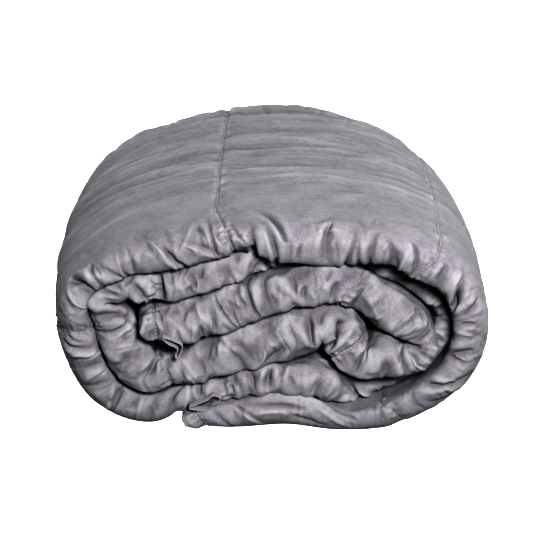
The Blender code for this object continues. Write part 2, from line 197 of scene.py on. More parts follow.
# The creases that show, by the stretch they are on. Each runs from one place to another on the cloth
# (along, across, along, across) and has a width and a rise, which is below 0 in a trough. The cloth
# swells more on the left of a trough, seen from its first end.
CREASES = {
    "left of the top seam": (
        (590, 46, 578, -10, 1.7, -1.8), (596, 20, 582, -8, 1.8, -3.4), (589, 12, 583, -10, 1.3, 1.6),
        (632, 22, 634, -6, 1.4, 2.2), (628, 14, 629, -12, 2.2, -2.6), (612, 26, 594, 0, 1.5, 1.6),
        (606, 20, 590, -8, 1.6, -2.6), (645, 12, 636, -8, 2.2, -2.2), (582, 16, 552, -6, 1.2, 1.7),
        (578, 10, 552, -9, 2.2, -1.7), (566, 44, 580, 8, 1.8, 0.9), (556, 52, 552, 6, 1.4, -2.6),
        (549, 24, 544, 0, 1.2, -1.8), (566, 40, 562, 8, 2.0, -1.0), (606, 40, 602, 10, 2.3, -1.0),
        (656, 20, 650, 0, 2.2, -2.0),
    ),
    "right of the top seam": (
        (538, 10, 525, 8, 0.9, -1.0), (544, 38, 514, 41, 0.8, -1.0), (536, 24, 526, 2, 1.4, -1.2),
        (523, 34, 520, -14, 1.9, -5.0), (518, 36, 504, -14, 1.9, -4.4), (516, 60, 490, 2, 2.1, -4.4),
        (511, 26, 499, -8, 1.7, 1.6), (478, 2, 478, -14, 1.2, -1.8), (453, 16, 451, -16, 2.2, -4.2),
        (460, 14, 447, 15, 1.3, 1.4), (436, 34, 441, -14, 2.1, -3.2), (427, 22, 426, -10, 1.7, -2.2),
        (419, 16, 417, -14, 1.9, -2.4), (411, 28, 415, 6, 1.7, -2.0), (448, 50, 470, 24, 3.3, -1.2),
        (432, 44, 424, 26, 2.2, -1.0), (386, 18, 378, -12, 1.9, -4.2), (393, 14, 390, -12, 1.9, 1.8),
        (404, 6, 400, -16, 2.8, -2.6),
    ),
    "right side": (
        (352, 6, 347, -14, 2.5, -3.2), (341, 10, 338, -10, 2.2, 1.6), (334, 14, 313, -18, 2.2, -8.0),
        (315, 8, 308, -12, 2.5, -3.0), (298, -18, 299, 4, 1.7, -3.2), (292, -16, 289, 2, 2.2, 1.8),
        (276, 4, 252, -22, 3.4, -4.0), (262, -22, 266, -2, 1.6, 2.0), (217, -24, 238, -1, 2.2, -4.2),
        (236, -3, 258, 22, 2.6, -4.2), (226, -20, 246, 2, 3.0, 1.6), (206, -22, 226, 10, 4.0, -1.4),
        (206, -10, 203, 10, 3.3, -1.4), (170, -8, 165, 8, 2.2, -1.4),
    ),
    "free end": (
        (30, -14, 40, 10, 1.7, -3.6), (40, -12, 60, 10, 2.0, 2.0), (48, -8, 66, 10, 1.9, -2.0),
        (34, -18, 84, -10, 3.3, -2.8), (84, -10, 124, 5, 3.3, -3.2), (50, -21, 108, -14, 3.0, 2.2),
        (108, -14, 146, 5, 2.8, 2.2), (60, -3, 104, 6, 3.3, 1.8), (120, -14, 150, -2, 1.9, -2.2),
        (6, -10, 4, 8, 1.7, -1.0),
    ),
    "left side": (
        (663, -14, 670, 10, 3.0, -6.0), (654, 8, 652, -16, 2.2, -3.4), (672, 17, 682, -6, 1.0, 2.4),
        (684, 12, 690, -4, 2.2, -1.6), (713, 8, 720, -4, 1.3, -1.8), (726, 14, 736, -12, 2.8, 2.4),
        (720, 10, 728, -12, 2.2, -1.8), (738, -16, 736, -5, 1.2, -2.8), (744, 12, 748, -10, 3.3, -2.0),
        (789, -16, 791, 11, 1.4, -4.2), (780, -14, 786, 4, 2.0, 1.8), (772, -16, 764, 6, 3.9, -1.6),
        (800, 2, 805, -14, 3.3, -2.6), (812, -14, 811, 8, 2.2, 2.0), (822, 8, 828, -12, 2.8, -2.4),
        (832, 14, 852, -12, 2.8, -2.8), (846, 8, 858, -12, 2.2, 1.8), (866, 2, 872, -14, 2.4, -3.0),
    ),
    "lower run": (
        (894, -4, 896, 6, 1.2, -1.6), (902, -16, 900, -2, 1.7, -1.6), (911, -14, 914, 4, 2.0, -3.6),
        (921, -18, 922, -6, 2.8, 1.6), (930, -8, 929, 8, 2.2, -4.0), (940, -22, 936, -2, 1.4, -2.4),
        (946, -18, 944, 10, 2.8, 1.4), (968, -14, 972, 12, 3.9, -1.6), (984, -16, 1004, 14, 2.2, -5.0),
        (996, -12, 1014, 10, 1.9, 1.8), (1024, 10, 1030, -6, 2.2, -2.0),
    ),
    "inner right side": (
        (1088, 4, 1084, -10, 2.2, -2.0), (1126, 6, 1128, -10, 1.7, 2.0), (1120, 6, 1119, -10, 1.7, -2.4),
        (1160, 6, 1168, -8, 2.2, -2.4),
    ),
    "upper run": (
        (1286, 14, 1283, -8, 2.1, -3.8), (1292, 6, 1301, -8, 1.7, 1.6), (1312, 22, 1311, 2, 1.9, -1.8),
        (1320, 10, 1326, -8, 3.3, -1.4), (1338, 17, 1345, 2, 2.2, -2.2), (1346, 4, 1354, -12, 1.0, 1.6),
        (1350, 0, 1358, -10, 1.7, -2.2), (1380, 17, 1382, -18, 2.0, -6.0),
        (1387, 14, 1388, -12, 1.4, 2.4), (1408, 9, 1393, -8, 3.0, -3.6), (1402, 16, 1408, 4, 1.4, -1.6),
        (1424, 14, 1416, -2, 1.8, -3.0),
    ),
    "left cushion": (
        (1440, 16, 1453, -10, 3.1, -3.8), (1428, 12, 1436, -12, 3.3, 1.8),
        (1461, 4, 1447, -28, 1.3, -4.0), (1467, 2, 1459, -22, 2.2, 1.8), (1472, 4, 1468, -12, 1.9, -1.8),
        (1486, 10, 1478, -14, 3.9, -1.4), (1504, 2, 1506, -22, 2.2, 1.8),
        (1512, -2, 1514, -24, 2.8, -2.6), (1522, 0, 1524, -18, 2.2, 1.4), (1496, 14, 1490, -8, 3.3, -1.2),
    ),
    "middle run": (
        (1546, -16, 1543, 8, 2.8, -1.4), (1580, -22, 1570, -6, 2.8, -2.4),
        (1588, -22, 1582, -8, 2.2, 1.6), (1604, 16, 1622, 3, 1.3, 1.8), (1622, 3, 1640, -3, 1.2, 1.6),
        (1612, 16, 1640, 5, 2.4, -2.6), (1623, -14, 1637, -21, 1.0, 1.2),
        (1633, -10, 1651, -21, 1.0, 1.2), (1600, -12, 1606, 6, 3.9, -1.0), (1648, -8, 1652, 8, 2.2, -1.8),
        (1663, -16, 1659, 6, 2.4, -4.2), (1673, -18, 1668, 0, 1.8, -3.2),
    ),
    "hump and tuck": (
        (1678, -9, 1683, 6, 1.8, -6.0), (1681, 2, 1690, 19, 2.4, -6.5), (1688, -14, 1690, 10, 2.4, 2.6),
        (1708, -12, 1710, 16, 1.4, -2.8), (1722, -10, 1724, 12, 2.8, 1.6),
        (1734, -14, 1737, 10, 3.3, -1.4), (1748, -18, 1748, -6, 1.9, -3.2),
        (1753, -24, 1760, 12, 2.0, -5.0), (1762, -12, 1764, 8, 1.2, 1.8), (1768, -10, 1770, 8, 1.3, -2.2),
        (1775, -8, 1776, 6, 1.3, 1.6),
    ),
    "inner turn": (
        (1792, -14, 1790, 10, 1.8, -3.0), (1800, -10, 1798, 14, 2.2, 1.4),
        (1809, -14, 1804, 18, 2.2, -3.0), (1856, 0, 1826, -14, 1.0, 0.9), (1852, 4, 1824, -8, 1.0, 0.9),
        (1848, 8, 1822, -3, 1.0, 0.8), (1838, -10, 1834, 6, 4.4, -1.6),
    ),
    "inner run": (
        (1876, 4, 1880, -14, 2.8, -3.4), (1886, 4, 1898, -8, 1.2, 1.8), (1881, 20, 1886, 4, 1.3, -1.6),
        (1903, 3, 1905, -10, 2.2, -2.8), (1913, 15, 1912, -4, 2.2, -3.2),
        (1934, 13, 1933, -14, 3.3, -3.2), (1942, 12, 1944, -10, 2.2, 1.4),
        (1950, 12, 1949, -12, 2.4, -3.0), (1958, 15, 1956, 0, 1.7, -2.6), (1963, 14, 1962, 2, 1.4, 1.4),
        (1979, 20, 1967, -15, 1.2, -2.2), (1989, 8, 1988, -7, 1.7, -3.0), (1999, 16, 1997, 2, 2.2, 1.4),
        (2003, 18, 2011, 3, 1.2, -2.2), (2003, -2, 2007, -16, 1.7, 2.0), (1998, -6, 1998, -16, 1.7, -2.4),
        (2018, -6, 2018, -16, 1.7, -2.2), (2024, 12, 2026, -4, 2.2, -1.2),
        (2033, 10, 2033, -12, 1.2, -1.0), (2048, 8, 2050, -8, 1.7, -1.4),
    ),
}
OVER_EDGE = (5.0, 17.0)  # a crease that ends this far across runs on over the edge
RUN_ON = 0.35  # by this share of its length
CREASED = 1.45  # how much deeper the creases are than in the table
BOW = 0.1  # how far a crease bows to one side, at most, as a share of its length
WIDENING = 0.45  # how much wider it is at the end further from the edge, and narrower at the other
FADE_IN, FADE_OUT = 0.75, 0.2  # over what shares of its length it fades at those two ends
TROUGH_SWELL = (0.32, 0.16)  # how far the cloth rises on either side of a trough, as shares of its depth

# The long wrinkles that run round the roll on top. Where each starts at the top seam, how far it shifts
# across the cloth on its way to the left and to the right of it, its width and its rise.
LONG_WRINKLES = (
    (136, -76, 16, 3.4, 1.4), (164, -40, 12, 3.0, 0.6), (176, -34, 14, 3.0, 0.7),
    (188, -36, 10, 2.6, 0.6), (199, -30, 8, 3.6, 1.0), (214, -30, 6, 3.0, 0.6), (227, -26, 10, 3.4, 0.6),
    (243, -24, 4, 3.0, 0.5), (259, -22, 2, 4.6, 1.0), (276, -20, 4, 3.0, 0.7), (289, -16, 2, 3.0, 0.7),
    (305, -14, 0, 3.4, 0.5), (322, -12, 2, 4.0, 0.6), (338, -8, 2, 3.4, 0.4),
)
WRINKLE_RUN = 150.0  # how far along the cloth a long wrinkle takes to shift that far
WRINKLE_FROM, WRINKLE_TO, WRINKLE_FADE = 290.0, 715.0, 50.0  # the stretch of the cloth that has them
TOP_SEAM = 3
FINE_WRINKLES = 46  # shorter and lower ones, strewn between them
# How far across the cloth a fine one starts, its reach along it, its width and its rise: from and to.
FINE_WRINKLE = ((105, 345), (25, 80), (1.8, 3.0), (-0.45, 0.5))
# Small folds strewn along the front and back edges: how far apart, how far they lean, how far they
# reach, their width and their rise.
FRONT_FOLDS = (7.0, 6.0, (6.0, 18.0), (0.8, 1.7), (-0.9, -0.2))
BACK_FOLDS = (17.0, 7.0, (8.0, 22.0), (1.6, 3.4), (-1.2, -0.3))
# How the cloth is crumpled near its front edge: the size of its folds, how much slower they change across
# the cloth than along it, and how high they are.
CRUMPLE = ((12.0, 0.5, 0.8), (6.0, 0.7, 0.45))
CRUMPLE_PATCHES = 45.0  # the size of the parts that have more of it
CRUMPLE_SHARES = (0.45, 0.45, 0.1)  # how much of it there is on average, how much that varies, and the least
FRONT_PART = 30.0  # across the cloth, the front part ends here, and fades over as far again
BULGES_OUTSIDE = 0.2  # how strong the bulges are on the outer turn, as a share of those inside
CRUMPLED_OUTSIDE = 0.6  # and how strongly it is crumpled
PARTING = 20.0  # over how far that changes, along the cloth
# The streaks along the roll's top: their size, how much slower they change along the cloth, and how high.
STREAKS = ((15.0, 0.07, 0.6), (8.0, 0.06, 0.65), (4.5, 0.05, 0.35))
STREAKS_FROM = (105.0, 40.0)  # behind this, over this far
STREAKS_LEAN = (-0.2, -0.05)  # how far they shift across for each mm along, left and right of the top seam
BULGES = ((30.0, 0.9, 0.8), (16.0, 0.9, 0.4))  # softer folds, by the same measures as the crumpled ones
LUMP = 0.45  # how uneven the filling makes the cloth
LUMP_SIZES = (38.0, 17.0)
PRESSED = (26.0, 20.0, 0.25)  # behind this, over this far, relief falls to this share between two turns
ON_FLOOR = (14.0, 0.15)  # nearer to the floor than this, relief falls to this share
EDGE_HALF = 24.0  # about how far the front edge reaches round to each face
BACK_EDGE = 372.0  # about how far across the middle of the back edge is
SEED = 11

# The thread: how long a stitch is, how far it is to the next one, how wide it is and how high it stands.
STITCH, STITCH_PITCH, THREAD, THREAD_RISE = 2.5, 3.3, 0.32, 0.3
# Where its tips and its rings are along a stitch, and how high, as shares of its length and its height.
STITCH_PLACES, STITCH_ARCH = np.array([0.0, 0.18, 0.5, 0.82, 1.0]), np.array([-0.5, 0.7, 1.0, 0.7, -0.5])
THREAD_SIDES = 5
STITCHED = {OUTER: 356.0, INNER: -26.0}  # how far across the cloth the stitches show on the outer turn
STITCHED_INSIDE = 24.0  # and to both sides on the inner turns
HEM_ROWS = (0.0, 3.4)  # the hem is stitched twice, this far in from its seam

# The ribbon loops at the blanket's corners: the ribbon's middle line (x, z), and the depth of its back
# edge behind the front of the roll.
RIBBON = 0.8  # its thickness
RIBBON_WIDTH = 10.0
RIBBON_ROUND = 0.35  # of its two edges
RIBBON_STEPS = 6  # for each point of its middle line
LOOPS = {
    "tab_outer": (
        (-72, 23.4), (-59.5, 22.2), (-55.3, 22.8), (-51.8, 26.6), (-45.6, 30.6), (-44.6, 32.6),
        (-46.8, 35), (-50.8, 35.8), (-56, 32), (-64.6, 28), (-72, 24.6),
    ),
    "tab_inner": (
        (-94, 91.8), (-87, 89.6), (-81.9, 87.4), (-78.2, 85.2), (-76.8, 82.4), (-78, 79), (-79.8, 74.4),
        (-81.9, 72.4), (-83.2, 74.6), (-81.6, 77.8), (-80.8, 80.6), (-83.2, 82.8), (-88.2, 85.2),
        (-94, 90.4),
    ),
}
LOOP_DEPTHS = {"tab_outer": 7.0, "tab_inner": 3.0}

# The grid of points of the cloth's surface, in pieces: name, where it ends on the cloth, step along the
# cloth, and the rows: round the front edge from its foremost line to the outer and to the inner face,
# then near it and further back on the outer and on the inner face.
PARTING_SEAM = 5  # between the outer turn, whose outer face shows, and the inner ones
PIECES = (
    ("blanket_lower_part", 385, 1.1, (40, 14, 20, 90, 6, 5)),
    ("blanket_top_right", 560, 1.1, (48, 12, 20, 150, 6, 5)),
    ("blanket_top_left", 740, 1.1, (48, 12, 20, 150, 6, 5)),
    ("blanket_left_side", 910, 1.1, (40, 14, 20, 90, 6, 5)),
    ("blanket_inner_turn", 1405, 1.0, (28, 18, 8, 5, 8, 5)),
    ("blanket_innermost_turn", 2060, 0.9, (28, 20, 8, 5, 8, 5)),
)
BACK_ROWS = len(BACK_LAYERS) * BACK_LAYER_ROWS
NEAR_STEP = 1.5  # between the rows just behind the front edge

# The materials: name, two greys, the weave's pitch in mm and its rise in metres, sheen and roughness.
COTTON = ("quilted_cotton", (0.24, 0.23, 0.25), (0.43, 0.42, 0.44), 0.7, 0.00012, 0.05, 0.9)
WOVEN_RIBBON = ("woven_ribbon", (0.3, 0.29, 0.31), (0.48, 0.47, 0.49), 0.9, 0.0001, 0.2, 0.6)
THREAD_YARN = ("sewing_thread", (0.36, 0.35, 0.37), (0.58, 0.57, 0.59), 0.5, 0.00005, 0.1, 0.6)
# The noises in the grey: their share in it, their scale and their detail.
NOISES = ((0.55, 0.8, 4.0), (0.3, 0.16, 3.0), (0.15, 0.018, 2.0))
# The grey follows the relief (mm) as painted light and shade: it is painted darker in troughs, as shade, and
# lighter on ridges, as light.
RELIEF_PAINTED_SHADE = {"From Min": -4.0, "From Max": 2.0, "To Min": -0.45, "To Max": 0.18}
GREYS_AT = (0.25, 0.75)  # which tones the darker and the lighter grey stand for
GRAIN_RISE = 3.0  # of the grain, where the weave's is 1

# The studio, in metres: each light's name, place, size and power in watts, and what they are all turned to.
LIGHTS = (
    ("key", (0.85, 0.15, 1.2), 0.6, 6.5),
    ("front", (0.4, -2.2, 1.3), 0.6, 66.0),
    ("left_fill", (-1.5, 1.1, 0.4), 0.8, 14.0),
    ("back_fill", (-0.3, 1.7, 0.5), 0.8, 11.0),
    ("right_fill", (1.6, 1.0, 0.4), 0.8, 8.0),
)
LIGHTS_TURN_TO = (0, 0, 0.08)
WORLD_LIGHT = 0.02  # from all round
FLOOR_HALF, FLOOR_GREY, FLOOR_GLOW = 30.0, 0.9, 0.75  # half its side, its grey, and its own light
CAMERA_LENS, CAMERA_SENSOR = 165.9, 36  # mm
CAMERA_ELEVATION = 20  # degrees
CAMERA_LOOKS_AT, CAMERA_DISTANCE = (-0.0017, -0.184, 0.151), 2.1148
PICTURE_GAMMA = 0.68  # part of the tone curve that the whole picture gets


def distances(points):
    """How far each point is from the first one, along the line through them."""
    return np.concatenate([[0.0], np.cumsum(np.linalg.norm(np.diff(points, axis=0), axis=1))])


def softened(values, reach=6):
    """Each value made a rounded mean of itself and its neighbours."""
    weights = np.hanning(2 * reach + 1)[1:-1]
    padded = np.concatenate([np.full(reach - 1, values[0]), values, np.full(reach - 1, values[-1])])
    return np.convolve(padded, weights / weights.sum(), "valid")


def bump(distance, width):
    """1 at no distance, falling softly to 0 a few widths away."""
    return np.exp(-((distance / width) ** 2))


def smooth_curve(knots, count):
    """A smooth curve through knots: so many points of it, and how far along the knots each one is."""
    at = distances(knots)
    slopes = np.gradient(knots, at, axis=0)
    fine = np.linspace(0, at[-1], count)
    first = np.clip(np.searchsorted(at, fine, side="right") - 1, 0, len(knots) - 2)
    gap = (at[first + 1] - at[first])[:, None]
    u = (fine[:, None] - at[first][:, None]) / gap
    points = (
        knots[first] * (1 + 2 * u) * (1 - u) ** 2
        + knots[first + 1] * u**2 * (3 - 2 * u)
        + slopes[first] * gap * u * (1 - u) ** 2
        - slopes[first + 1] * gap * u**2 * (1 - u)
    )
    return points, fine


def smooth_route(stretches):
    """The route as a smooth curve, sampled every ROUTE_STEP: x, z, outer, inner, back."""
    knots = np.array([row for rows in stretches.values() for row in rows], float)
    knot_at = distances(knots[:, :2])
    places, fine = smooth_curve(knots[:, :2], round(4 * knot_at[-1] / ROUTE_STEP))
    run = distances(places)
    at = np.linspace(0, run[-1], round(run[-1] / ROUTE_STEP) + 1)
    where = np.interp(at, run, fine)
    return np.column_stack(
        [np.interp(at, run, places[:, 0]), np.interp(at, run, places[:, 1])]
        + [softened(np.interp(where, knot_at, knots[:, column])) for column in (2, 3, 4)]
    )


class Roll:
    """The wound cloth: its route, and how far it reaches to each side of it."""

    def __init__(self, stretches):
        samples = smooth_route(stretches)
        self.points = samples[:, :2]
        self.at = np.interp(distances(self.points), *zip(*TAKEN_UP))
        self.length = self.at[-1]
        self.free_reach = {OUTER: samples[:, 2], INNER: samples[:, 3]}
        self.back = samples[:, 4]
        self.way = np.gradient(self.points, axis=0)
        self.way /= np.linalg.norm(self.way, axis=1)[:, None]
        self.outward = np.column_stack([self.way[:, 1], -self.way[:, 0]])
        self.reaches = {
            side: np.array([self.reach_at_depth(side, depth) for depth in LAYER_DEPTHS])
            for side in (OUTER, INNER)
        }
        self.seams = [seam % self.length for seam in SEAMS]

    def reach_at_depth(self, side, depth):
        """How far the cloth reaches to one side of its route, all along it, at one depth."""
        room = self.room(side, self.back <= depth + MAKES_ROOM)
        return np.minimum(softened(np.minimum(self.free_reach[side], room)), room)

    def room(self, side, there):
        """How far each point can go along its normal and stay nearest to its own place on the route.

        It is the radius of the ball that touches the route there and meets another part of it.
        Only the turns that are there count. They leave TURN_GAP between them, and a point of the
        same bend leaves it BEND_SHARE of the radius.
        """
        away = self.points[None, :, :] - self.points[:, None, :]
        ahead = side * (away * self.outward[:, None, :]).sum(axis=2)
        radius = (away**2).sum(axis=2) / (2 * np.maximum(ahead, 0.001))
        radius[ahead < 0.001] = np.inf
        radius = radius * (1 + END_ROOM * bump(self.length - self.at, END_ROUND))[None, :]
        same = np.abs(self.at[None, :] - self.at[:, None]) < SAME_BEND
        other_turn = np.where(~same & there[None, :], radius, np.inf).min(axis=1) - TURN_GAP / 2
        same_bend = np.where(same, radius, np.inf).min(axis=1) * BEND_SHARE
        return np.minimum(other_turn, same_bend)

    def reach(self, side, place, depth):
        """How far the cloth reaches to one side of its route, at places and depths."""
        place, depth = np.broadcast_arrays(place, depth)
        column = np.interp(place, self.at, np.arange(len(self.at)))
        row = np.interp(depth, LAYER_DEPTHS, np.arange(len(LAYER_DEPTHS)))
        left = np.minimum(column.astype(int), len(self.at) - 2)
        low = np.minimum(row.astype(int), len(LAYER_DEPTHS) - 2)
        u, v = column - left, row - low
        table = self.reaches[side]
        near = table[low, left] * (1 - u) + table[low, left + 1] * u
        far = table[low + 1, left] * (1 - u) + table[low + 1, left + 1] * u
        return near * (1 - v) + far * v

    def from_seam(self, place, over):
        """How far places on the cloth are from the nearest seam, at distances across it."""
        apart = []
        for k, seam in enumerate(self.seams):
            drift = SEAM_DRIFT.get(k, ((0, 0),))
            apart.append(np.abs(place - seam - np.interp(over, *zip(*drift))))
        return np.min(apart, axis=0)

    def fullness(self, place, from_seam):
        """How full the cloth is at a place: drawn in at its seams and at its two ends."""
        full = 1 + PUFF * (1 - bump(from_seam, 6 * SEAM_WIDTH)) - SEAM_DEPTH * bump(from_seam, SEAM_WIDTH)
        to_end = np.clip(np.minimum(place, self.length - place) / END_ROUND, 0, 1)
        return full * np.maximum(END_SHARE, np.sqrt(1 - (1 - to_end) ** 2))

    def surface(self, place, depth, share, from_seam):
        """Points in the cloth: share is 1 on its outer face, -1 on its inner face, and 0 between them."""
        place = np.broadcast_to(place, depth.shape)
        x, z = (np.interp(place, self.at, self.points[:, k]) for k in (0, 1))
        out_x, out_z = (np.interp(place, self.at, self.outward[:, k]) for k in (0, 1))
        size = np.hypot(out_x, out_z)
        out, inn = (self.reach(side, place, depth) for side in (OUTER, INNER))
        offset = (out - inn) / 2 + share * self.fullness(place, from_seam) * (out + inn) / 2
        x, z = x + out_x / size * offset, z + out_z / size * offset
        x = x - TIP_SLANT * (z - TIP_MIDDLE) * np.clip(1 - place / TIP_REACH, 0, 1)
        return barrelled(x, z, depth)


def barrelled(x, z, depth):
    """Points of the straight roll moved to where they lie in the real one, which varies in width."""
    t = depth / FOLDED_WIDTH

    def varied(kind):
        """The share at each point's depth, on the side of the roll that the point is on."""
        shares = (
            (1 - t) ** 2 * front + 2 * t * (1 - t) * pull + t**2 * back
            for front, pull, back in (BARREL["left " + kind], BARREL["right " + kind])
        )
        return np.where(x < 0, *shares)

    z = np.maximum(z * (1 - varied("shoulder") * (x / HALF_WIDTH) ** 2), 0.0)
    return np.stack([x * varied("width"), FRONT + depth, z], axis=-1)


def pleat_depth(place, angle):
    """How far the pleats draw the front edge in, at places along it and angles round it."""
    return sum(
        depth * bump(place - at, 0.7 * width) * bump(angle - middle, PLEAT_SPREAD)
        for name, at, width, depth, middle in PLEATS
    )


def rounded(angle, square):
    """How far in from its tip and how far to the side an edge of unit size is, at angles round it."""
    c, s = np.cos(np.radians(angle)), np.sin(np.radians(angle))
    power = 2 / square
    return 1 - np.abs(c) ** power, np.sign(s) * np.abs(s) ** power


def face_shares(near, far):
    """Where the rows of one face stand, as shares of it: evenly near the front, and wider behind."""
    length = FOLDED_WIDTH - 2 * FRONT_MEASURE
    close = np.arange(1, near + 1) * NEAR_STEP / length
    return np.concatenate([close, np.linspace(close[-1], 1, far + 2)[1:-1]])


def across(grid, share, edge):
    """How far each point of a grid lies from the middle of the front edge, round the section.

    The first rows of the grid, as many as edge, go round the front edge.
    """
    steps = np.linalg.norm(np.diff(grid, axis=1, append=grid[:, :1]), axis=2)
    ahead = np.cumsum(steps, axis=1) - steps
    middle = np.array([np.interp(0, -share[k, :edge], ahead[k, :edge]) for k in range(len(share))])[:, None]
    around = steps.sum(axis=1)[:, None]
    return -(np.mod(ahead - middle + around / 2, around) - around / 2)


def back_layers(place, half):
    """How far in from the back the rows of its layers are, in mm, and how far to the side, as shares."""
    angle = np.radians(np.linspace(-BACK_LAYER_ROUND, BACK_LAYER_ROUND, BACK_LAYER_ROWS))[None, :]
    inward, side = [], []
    for k, (middle, wide, back, wander) in enumerate(BACK_LAYERS):
        wandering = wander * (np.sin(place / 37 + 2 * k) + np.sin(place / 83 + 5 * k)) / 2
        inward.append(half * wide * (1 - np.cos(angle)) + back + wandering)
        side.append(np.broadcast_to(middle + wide * np.sin(angle), inward[-1].shape))
    return np.maximum(np.concatenate(inward, axis=1), 0), np.concatenate(side, axis=1)


def surface_grid(roll, places, rows):
    """The smooth cloth: a ring of points round each place. Rows run from the outer face round the front."""
    place = places[:, None]
    outward_rows, inward_rows = rows[:2]
    angle = np.concatenate([np.linspace(90, 0, outward_rows + 1)[:-1], np.linspace(0, -90, inward_rows)])
    angle = angle[None, :]
    shares = {OUTER: face_shares(*rows[2:4])[None, :], INNER: face_shares(*rows[4:])[None, :]}
    face_width = FOLDED_WIDTH - 2 * FRONT_MEASURE
    over = np.concatenate(
        [
            angle / 90 * EDGE_HALF,
            -EDGE_HALF - face_width * shares[INNER],
            np.full((1, BACK_ROWS), EDGE_HALF + face_width),
            EDGE_HALF + face_width * shares[OUTER][:, ::-1],
        ],
        axis=1,
    )
    from_seam = roll.from_seam(place, over)
    front = np.interp(place, roll.at, roll.back) + SEAM_PULL * bump(roll.from_seam(place, 0.0), SEAM_WIDTH)
    front = front + np.interp(place, *zip(*STEPS))
    rear = FOLDED_WIDTH - BACK_UNEVEN * (1 + np.sin(place / BACK_WAVE))
    front_round, rear_round = (
        sum(roll.reach(side, place, depth) for side in (OUTER, INNER)) / 2
        for depth in (front + FRONT_MEASURE, rear)
    )
    edge_at, *edges = zip(*FRONT_EDGE)
    outer_slope, inner_slope, tip = (np.interp(place, edge_at, row) for row in edges)
    slope = {OUTER: outer_slope, INNER: inner_slope}
    inward, side = (
        np.where(angle > 0, outward, inwards)
        for outward, inwards in zip(rounded(angle, EDGE_SQUARE[OUTER]), rounded(angle, EDGE_SQUARE[INNER]))
    )
    back_way = front_round * inward * np.where(angle > 0, slope[OUTER], slope[INNER])
    side = tip + side * np.where(angle > 0, 1 - tip, 1 + tip)
    pleat = pleat_depth(place, angle)
    end = rear - rear_round
    inner, outer = (
        start + shares[face] * (end - start)
        for face, start in ((face, front + front_round * slope[face]) for face in (INNER, OUTER))
    )
    back_inward, back_side = back_layers(place, rear_round)
    lip = np.interp(place, *zip(*LIP)) / front_round

    def section(drawn_in):
        """The ring of points at each place, with the front edge drawn in so far, and their shares."""
        edge_depth = front + back_way + drawn_in * np.cos(np.radians(angle))
        edge_share = side * (1 - PLEAT_SQUEEZE * drawn_in / front_round)
        depth = np.concatenate([edge_depth, inner, rear - back_inward, outer[:, ::-1]], axis=1)
        faces = np.full_like(inner, INNER), back_side, np.full_like(outer, OUTER)
        share = np.concatenate([edge_share, *faces], axis=1)
        share = share - lip * (1 - share) / 2 * bump(depth - front, LIP_DEPTH)
        return roll.surface(place, depth, share, from_seam), share

    # Distances across leave out the pleats, or each pleat would shift the pattern of the cloth behind it.
    distance_across = across(*section(0 * pleat), outward_rows + inward_rows)
    return section(pleat)[0], distance_across, from_seam


def normals(grid):
    """The outward direction at each point of a grid."""
    along = np.gradient(grid, axis=0)
    around = np.roll(grid, -1, axis=1) - np.roll(grid, 1, axis=1)
    normal = np.cross(along, around)
    return normal / np.maximum(np.linalg.norm(normal, axis=2), 1e-9)[:, :, None]


def waves(rng, place, over, size, count=12):
    """Smooth unevenness of about unit height, its lumps about one size across."""
    total = 0.0
    for _ in range(count):
        heading, phase = rng.uniform(0, math.pi), rng.uniform(0, 2 * math.pi)
        turns = 2 * math.pi / (size * rng.uniform(0.7, 1.5))
        total = total + np.sin(turns * (math.cos(heading) * place + math.sin(heading) * over) + phase)
    return total / math.sqrt(count / 2)


def crease(place, over, row):
    """The height that one crease gives to points of the cloth near it."""
    start_place, start_over, end_place, end_over, width, rise = row
    run = np.array([end_place - start_place, end_over - start_over], float)
    if OVER_EDGE[0] < abs(start_over) < OVER_EDGE[1]:
        start_place, start_over = start_place - run[0] * RUN_ON, start_over - run[1] * RUN_ON
    if OVER_EDGE[0] < abs(end_over) < OVER_EDGE[1]:
        end_place, end_over = end_place + run[0] * RUN_ON, end_over + run[1] * RUN_ON
    run = np.array([end_place - start_place, end_over - start_over], float)
    length = np.linalg.norm(run)
    run /= length
    from_start = place - start_place, over - start_over
    ahead = from_start[0] * run[0] + from_start[1] * run[1]
    along = np.clip(ahead / length, 0, 1)
    chance = math.sin(7.3 * start_place + 3.1 * end_over)
    bow = chance * BOW * length * 4 * along * (1 - along)
    aside = from_start[0] * run[1] - from_start[1] * run[0] - bow
    away = np.hypot(aside, ahead - along * length)
    from_far = along if abs(start_over) > abs(end_over) else 1 - along
    wide = width * (1 + WIDENING * (1 - 2 * from_far))
    fade = np.sin(math.pi / 2 * np.clip(from_far / FADE_IN, 0, 1)) ** 2
    taper = fade * np.sqrt(np.clip((1 - from_far) / FADE_OUT, 0, 1))
    if rise > 0:
        return CREASED * rise * taper * bump(away, wide)
    swell = np.where(aside < 0, *TROUGH_SWELL) * bump(away - 3 * wide, 2 * wide)
    return CREASED * rise * taper * (np.exp(-((away / wide) ** 1.2)) - swell)


def add_creases(height, place, over, rows):
    """Adds creases to a field of heights over the cloth."""
    for row in rows:
        reach = 7 * row[4]
        ends = min(row[0], row[2]) - reach, max(row[0], row[2]) + reach
        near = slice(*np.searchsorted(place[:, 0], ends))
        height[near] += crease(place[near], over[near], row)


